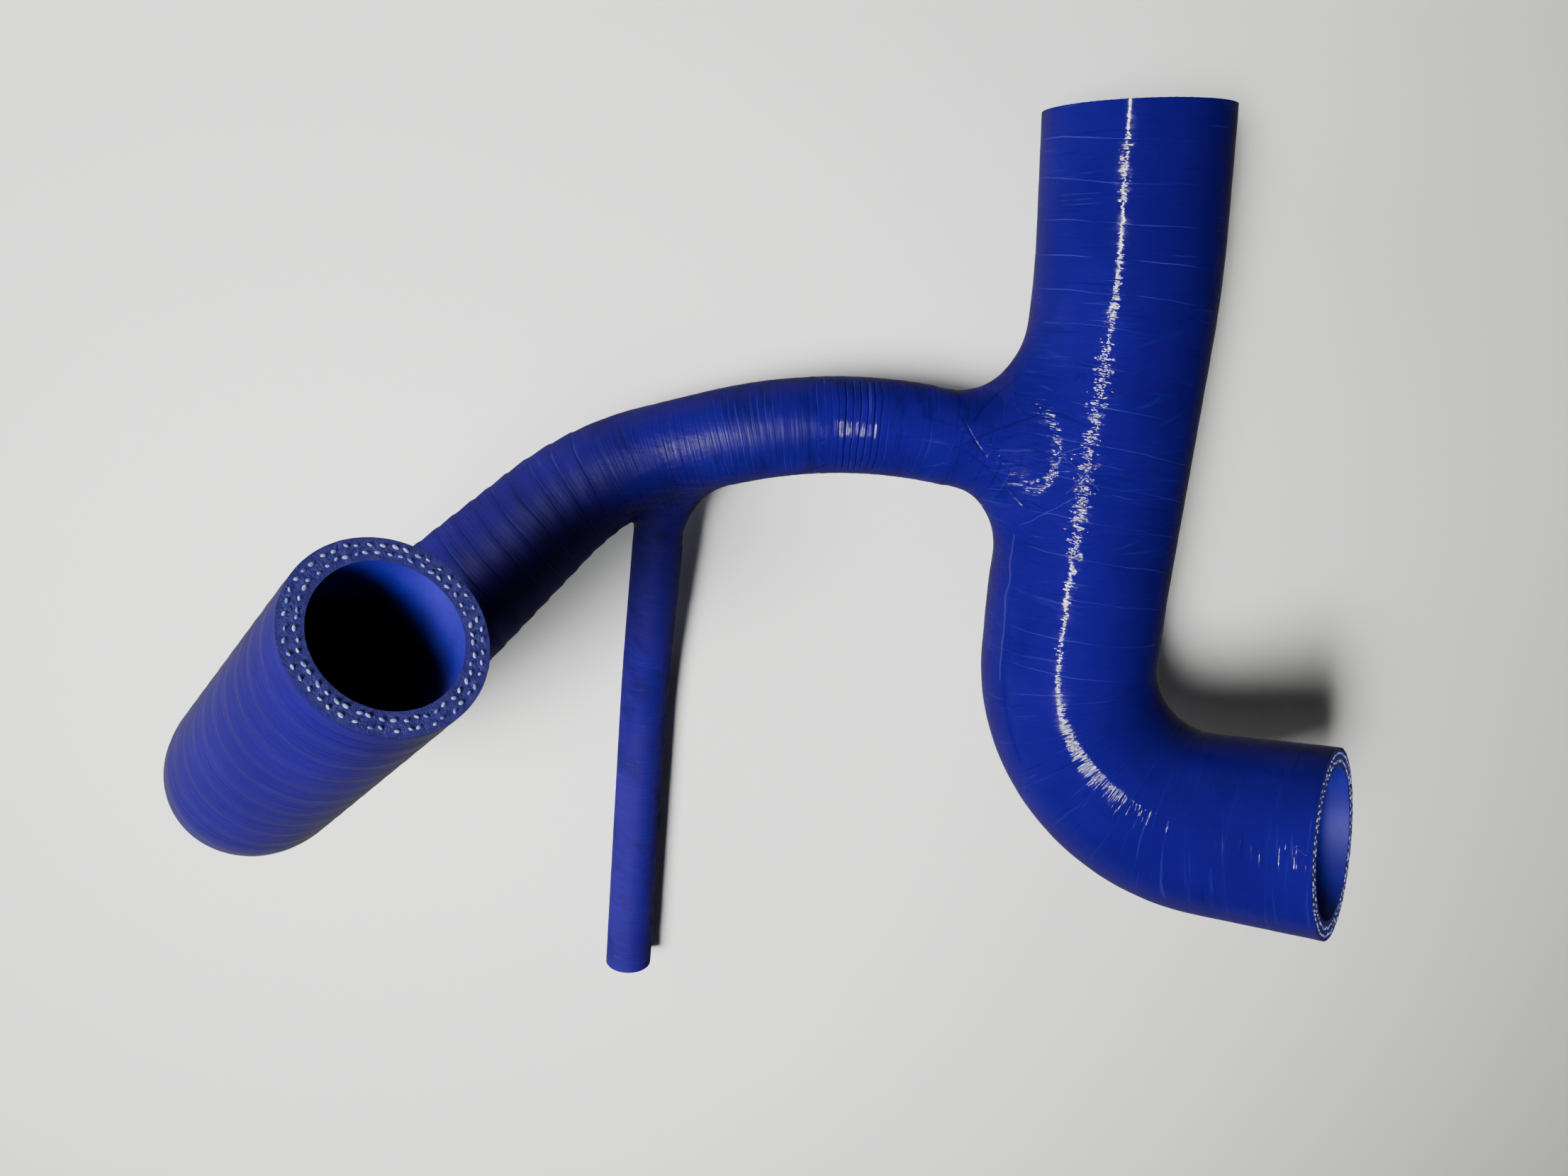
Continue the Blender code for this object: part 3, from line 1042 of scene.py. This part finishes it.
    @staticmethod
    def averaged(mesh: bpy.types.Mesh, values: np.ndarray, rounds: int) -> np.ndarray:
        """Averages each corner's value with its neighbours'.

        Args:
            mesh: the mesh that joins the corners.
            values: one value or row for each corner.
            rounds: how many times it is done.

        Returns:
            The averaged values.
        """
        ends = np.empty(len(mesh.edges) * 2, int)
        mesh.edges.foreach_get("vertices", ends)
        first, second = ends.reshape(-1, 2).T
        size = len(values)
        count = np.bincount(first, minlength=size) + np.bincount(second, minlength=size)
        grid = values.reshape(size, -1)
        for _ in range(rounds):
            sums = [
                np.bincount(first, column[second], size) + np.bincount(second, column[first], size)
                for column in grid.T
            ]
            grid = np.stack(sums, 1) / np.maximum(count, 1)[:, None]
        return grid.reshape(values.shape)

    def outside(self, readings: dict[str, Reading]) -> np.ndarray:
        """Returns 1 for places on the outside and 0 for those in a bore."""
        inside = np.zeros(len(readings["main"].away), bool)
        for leg in LEGS:
            reading = readings[leg.name]
            middle = (leg.outer(reading.along) + leg.bore(reading.along)) / 2.0
            inside |= reading.away < middle
        return ~inside

    def raise_wraps(self, piece: bpy.types.Object) -> None:
        """Raises the tape's overlaps and the soft swellings on the outside."""
        places = places_of(piece.data)
        readings = {leg.name: leg.read(places) for leg in LEGS}
        normals = np.empty(len(places) * 3)
        piece.data.vertex_normals.foreach_get("vector", normals)
        on_branch, on_thin = self.leg_shares(readings)
        wraps = {name: self.overlap(readings[wrap.leg], wrap) for name, wrap in RELIEF.items()}
        along = readings["branch"].along
        in_dense = rise(along, *self.dense_from) * (1.0 - rise(along, *self.dense_to))
        in_soft = rise(along, *self.soft_from)
        branch = wraps["coarse"] * (1.0 - in_dense) * (1.0 - in_soft) * rise(along, *self.coarse_from)
        branch += wraps["dense"] * in_dense + wraps["soft"] * in_soft
        height = wraps["main"] * (1.0 - on_branch)
        height += branch * on_branch * (1.0 - on_thin)
        height += wraps["thin"] * on_thin
        height *= self.outside(readings)
        put_places(piece.data, places + normals.reshape(-1, 3) * height[:, None])

    @staticmethod
    def overlap(reading: Reading, wrap: Wrap) -> np.ndarray:
        """Finds the height of wound tape.

        Args:
            reading: where the places are on the leg.
            wrap: the tape's pitch and how high its overlaps stand.

        Returns:
            The height at each place, both above and below the plain round.
        """
        across = reading.straight
        waver = wrap.waver * np.sin(across[:, 1] * wrap.waver_turn + reading.along * wrap.waver_run)
        turned = np.arctan2(across[:, 1], across[:, 0]) / math.tau
        share = ((reading.along + waver) / wrap.pitch + turned) % 1.0
        step = np.clip(share / wrap.climb, 0.0, 1.0) * (1.0 - share)
        return wrap.height * (step - wrap.mean)

    def leg_shares(self, readings: dict[str, Reading]) -> tuple[np.ndarray, np.ndarray]:
        """Returns how much each place belongs to the branch and to the thin leg."""
        off_main = readings["main"].away - MAIN.outer(readings["main"].along)
        off_branch = readings["branch"].away - BRANCH.outer(readings["branch"].along)
        on_branch = rise(off_main, *self.branch_begins)
        return on_branch, rise(off_branch, *self.thin_begins) * on_branch

    def trim(self, piece: bpy.types.Object, cut: Cut) -> None:
        """Cuts one end off square and closes the wall with rings of faces."""
        choose_only(piece)
        bpy.ops.object.mode_set(mode="EDIT")
        bpy.ops.mesh.select_mode(type="FACE")
        bpy.ops.mesh.select_all(action="DESELECT")
        bpy.ops.object.mode_set(mode="OBJECT")
        mesh = piece.data
        centres = np.empty(len(mesh.polygons) * 3)
        mesh.polygons.foreach_get("center", centres)
        off = centres.reshape(-1, 3) / MM - cut.middle
        depth = off @ cut.way
        aside = np.linalg.norm(off - depth[:, None] * cut.way, axis=1)
        near = aside < cut.outer + self.trim_margin
        near &= (depth > -self.cut_reach / 2.0) & (depth < self.cut_reach)
        mesh.polygons.foreach_set("select", near)
        bpy.ops.object.mode_set(mode="EDIT")
        bpy.ops.mesh.bisect(plane_co=Vector(cut.middle) * MM, plane_no=Vector(cut.way), clear_outer=True)
        self.select_rims("VERT")
        bpy.ops.mesh.remove_doubles(threshold=self.weld * MM)
        self.select_rims("EDGE")
        bpy.ops.mesh.bridge_edge_loops(number_cuts=self.wall_cuts, interpolation="LINEAR")
        bpy.ops.mesh.select_mode(type="VERT")
        bpy.ops.object.mode_set(mode="OBJECT")

    @staticmethod
    def select_rims(kind: str) -> None:
        """Selects the open rims of the cut, as corners (VERT) or as edges (EDGE)."""
        bpy.ops.mesh.select_mode(type=kind)
        bpy.ops.mesh.select_all(action="DESELECT")
        bpy.ops.mesh.select_non_manifold(extend=False, use_wire=False, use_multi_face=False,
                                         use_non_contiguous=False, use_verts=False)

    def record_places(self, piece: bpy.types.Object) -> None:
        """Writes each corner's place on each leg, for the patterns that follow the hose."""
        mesh = piece.data
        places = places_of(mesh)
        readings = {leg.name: leg.read(places) for leg in LEGS}
        for name, reading in readings.items():
            made = mesh.attributes.new(f"straight_{name}", "FLOAT_VECTOR", "POINT")
            made.data.foreach_set("vector", reading.straight.ravel())
        on_branch, on_thin = self.leg_shares(readings)
        crinkled = np.zeros(len(places))
        for centre, reach in ((self.t_centre, self.t_reach), (self.fork_centre, self.fork_reach)):
            crinkled += np.exp(-((np.linalg.norm(places - centre, axis=1) / reach) ** 2))
        ply = np.zeros(len(places))
        for cut in CUTS:
            off = places - cut.middle
            wall = cut.outer - cut.bore
            share = (np.linalg.norm(off - (off @ cut.way)[:, None] * cut.way, axis=1) - cut.bore) / wall
            near = np.abs(off @ cut.way) < self.ply_depth
            ply = np.where(near, 1.0 - np.clip(np.abs(share - 0.5) * 2.0, 0.0, 1.0), ply)
        values = {"on_branch": on_branch, "on_thin": on_thin,
                  "crinkled": np.clip(crinkled, 0.0, 1.0), "ply": ply}
        for name, value in values.items():
            mesh.attributes.new(name, "FLOAT", "POINT").data.foreach_set("value", value)

    def dress(self, piece: bpy.types.Object) -> None:
        """Gives the outside, the bores and the cuts their finishes."""
        mesh = piece.data
        for finish in (WrappedSilicone(), LINING, CUT_RUBBER):
            mesh.materials.append(finish.material())
        centres, normals = np.empty(len(mesh.polygons) * 3), np.empty(len(mesh.polygons) * 3)
        mesh.polygons.foreach_get("center", centres)
        mesh.polygons.foreach_get("normal", normals)
        centres, normals = centres.reshape(-1, 3) / MM, normals.reshape(-1, 3)
        outside = self.outside({leg.name: leg.read(centres) for leg in LEGS})
        kinds = np.where(outside, Surface.SKIN.value, Surface.LINING.value)
        for cut in CUTS:
            off = centres - cut.middle
            on_cut = np.abs(off @ cut.way) < self.cut_depth
            on_cut &= normals @ cut.way > self.cut_facing
            on_cut &= np.linalg.norm(off, axis=1) < cut.outer + self.cut_margin
            kinds[on_cut] = Surface.CUT.value
        mesh.polygons.foreach_set("material_index", kinds.astype(np.int32))
        choose_only(piece)
        bpy.ops.object.shade_smooth_by_angle(angle=self.smooth_angle)


# Each row is its place in the wall, from 0 at the bore to 1 outside, and its ends' gap.
YARN_ROWS = {
    "top": ((0.34, 1.55), (0.72, 1.55)),
    "elbow": ((0.34, 1.55), (0.72, 1.55)),
    "upright": ((0.32, 1.7), (0.70, 1.9)),
    "thin": ((0.5, 1.5),),
}


@dataclass
class YarnEnds:
    """Rows of cut yarn ends that show in the wall at a cut."""

    cut: Cut
    rows: tuple[Pair, ...]
    length: float = 1.05
    width: float = 0.62
    stand: float = 0.22
    facets: tuple[int, int] = (8, 6)
    spacing_slip: float = 0.18
    depth_slip: float = 0.05
    sizes: Pair = (0.75, 1.15)
    twist: float = 0.6

    def build(self, finish: bpy.types.Material) -> bpy.types.Object:
        """Models one yarn end, copies it round each row and joins the copies.

        Args:
            finish: the yarn's material.

        Returns:
            The finished piece.
        """
        choice = random.Random(self.cut.name)
        bpy.ops.object.select_all(action="DESELECT")
        round_facets, rings = self.facets
        bpy.ops.mesh.primitive_uv_sphere_add(segments=round_facets, ring_count=rings, radius=MM / 2.0)
        pattern = bpy.context.object
        copies = []
        forward = unit(np.cross(self.cut.way, self.cut.side))
        wall = self.cut.outer - self.cut.bore
        for share, gap in self.rows:
            radius = self.cut.bore + wall * share
            count = int(math.tau * radius / gap)
            for index in range(count):
                slip = choice.uniform(-self.spacing_slip, self.spacing_slip)
                angle = math.tau * (index + slip) / count
                ray = self.cut.side * math.cos(angle) + forward * math.sin(angle)
                spread = radius + wall * choice.uniform(-self.depth_slip, self.depth_slip)
                size = choice.uniform(*self.sizes)
                turn = Matrix((np.cross(self.cut.way, ray), ray, self.cut.way)).transposed()
                turn = turn @ Matrix.Rotation(choice.uniform(-self.twist, self.twist), 3, "Z")
                shape = turn @ Matrix.Diagonal((self.length * size, self.width * size, self.stand * 2.0))
                place = Matrix.Translation(Vector(self.cut.middle + ray * spread) * MM) @ shape.to_4x4()
                copy = bpy.data.objects.new(f"yarn_end_{index}", pattern.data.copy())
                copy.data.transform(place)
                bpy.context.scene.collection.objects.link(copy)
                copies.append(copy)
        bpy.data.objects.remove(pattern, do_unlink=True)
        bpy.ops.object.select_all(action="DESELECT")
        for copy in copies:
            copy.select_set(True)
        bpy.context.view_layer.objects.active = copies[0]
        bpy.ops.object.join()
        piece = bpy.context.object
        piece.name = f"yarn_ends_{self.cut.name}"
        piece.data.materials.clear()
        piece.data.materials.append(finish)
        bpy.ops.object.shade_smooth()
        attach(piece, BODY)
        return piece


@dataclass
class Studio:
    """The pale floor, the lamp, the soft fill and the camera."""

    floor_size_m: float = 6.0
    floor_colour: Colour = (0.70, 0.705, 0.68, 1.0)
    floor_roughness: float = 0.80
    soft_place_m: Triple = (-0.50, -0.04, 0.87)
    soft_sides_m: Pair = (0.38, 0.46)
    soft_spread: float = math.radians(38.0)
    soft_power: float = 2.3
    side_place_m: Triple = (-1.15, 0.20, 0.42)
    side_sides_m: Pair = (0.50, 1.20)
    side_power: float = 12.0
    long_place_m: Triple = (-0.77, 0.05, 1.35)
    long_sides_m: Pair = (0.028, 0.86)
    long_power: float = 26.0
    aim_m: Triple = (-0.06, -0.02, 0.0)
    fill_under: float = 0.14
    fill_low: float = 0.05
    fill_top: float = 0.04
    fill_steps: Pair = (0.45, 0.95)
    fill_lean: float = -0.75
    fill_colour: Colour = (1.0, 0.985, 0.96, 1.0)
    horizon: float = 0.05
    camera_place_m: Triple = (-0.029438, 0.073775, 0.27457)
    camera_right: Triple = (0.99281, -0.01398, 0.11888)
    camera_up: Triple = (0.04590, 0.96168, -0.27030)
    camera_back: Triple = (-0.11054, 0.27381, 0.95541)
    lens_mm: float = 26.80
    sensor_mm: float = 36.0
    nearest_m: float = 0.01

    def build(self) -> None:
        """Sets up the floor, the lights and the camera."""
        self.floor()
        self.lights()
        self.camera()

    def floor(self) -> None:
        """Lays a plain pale floor under the hose."""
        bpy.ops.object.select_all(action="DESELECT")
        bpy.ops.mesh.primitive_plane_add(size=self.floor_size_m)
        plane = bpy.context.object
        plane.name = "floor"
        paper, shader = new_material("pale_floor")
        shader.inputs["Base Color"].default_value = self.floor_colour
        shader.inputs["Roughness"].default_value = self.floor_roughness
        shader.inputs["Specular IOR Level"].default_value = 0.0
        plane.data.materials.append(paper)
        plane.visible_glossy = False

    def lights(self) -> None:
        """Adds two lamps that light, a long one that only shines in the gloss, and a faint fill."""
        soft = self.lamp("soft_lamp", self.soft_place_m, self.soft_sides_m, self.soft_power)
        side = self.lamp("side_lamp", self.side_place_m, self.side_sides_m, self.side_power)
        soft.visible_glossy = side.visible_glossy = False
        soft.data.spread = self.soft_spread
        shine = self.lamp("long_lamp", self.long_place_m, self.long_sides_m, self.long_power)
        shine.visible_diffuse = False
        world = bpy.data.worlds.new("room")
        world.use_nodes = True
        sheet = NodeSheet(world.node_tree)
        way = sheet.split(sheet.add("ShaderNodeTexCoord").outputs["Generated"])
        level = sheet.ramp(way[2], *self.fill_steps, self.fill_low, self.fill_top)
        above = sheet.ramp(way[2], -self.horizon, self.horizon)
        level = sheet.blend(above, self.fill_under, level)
        lean = sheet.math("MULTIPLY_ADD", way[0], self.fill_lean, 1.0)
        background = world.node_tree.nodes["Background"]
        background.inputs["Color"].default_value = self.fill_colour
        sheet.feed(background.inputs["Strength"], sheet.times(level, lean))
        bpy.context.scene.world = world

    def lamp(self, name: str, place: Triple, sides: Pair, power: float) -> bpy.types.Object:
        """Hangs an oblong lamp that faces the hose, with its long side along Y.

        Args:
            name: the lamp's name.
            place: where it hangs, in metres.
            sides: its width and its length, in metres.
            power: its power in watts.

        Returns:
            The lamp.
        """
        data = bpy.data.lights.new(name, "AREA")
        data.shape = "RECTANGLE"
        data.size, data.size_y = sides
        data.energy = power
        lamp = bpy.data.objects.new(name, data)
        bpy.context.scene.collection.objects.link(lamp)
        back = (Vector(place) - Vector(self.aim_m)).normalized()
        across = Vector((0.0, 1.0, 0.0)).cross(back).normalized()
        turn = Matrix((across, back.cross(across), back)).transposed()
        lamp.matrix_world = Matrix.Translation(place) @ turn.to_4x4()
        return lamp

    def camera(self) -> None:
        """Adds the camera at the photographed view."""
        data = bpy.data.cameras.new("camera")
        data.lens = self.lens_mm
        data.sensor_width = self.sensor_mm
        data.sensor_fit = "HORIZONTAL"
        data.clip_start = self.nearest_m
        camera = bpy.data.objects.new("camera", data)
        bpy.context.scene.collection.objects.link(camera)
        turn = Matrix((self.camera_right, self.camera_up, self.camera_back)).transposed()
        camera.matrix_world = Matrix.Translation(self.camera_place_m) @ turn.to_4x4()
        bpy.context.scene.camera = camera


def main() -> None:
    """Builds the hose, its yarn ends and the studio."""
    logging.basicConfig(level=logging.INFO, format="%(name)s: %(message)s")
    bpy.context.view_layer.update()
    hose = HoseBody().build()
    LOG.info("hose: %d faces", len(hose.data.polygons))
    yarn = CUT_YARN.material()
    for cut in CUTS:
        ends = YarnEnds(cut, YARN_ROWS[cut.name]).build(yarn)
        LOG.info("yarn at the %s cut: %d faces", cut.name, len(ends.data.polygons))
    Studio().build()
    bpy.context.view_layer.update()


if __name__ == "__main__":
    main()
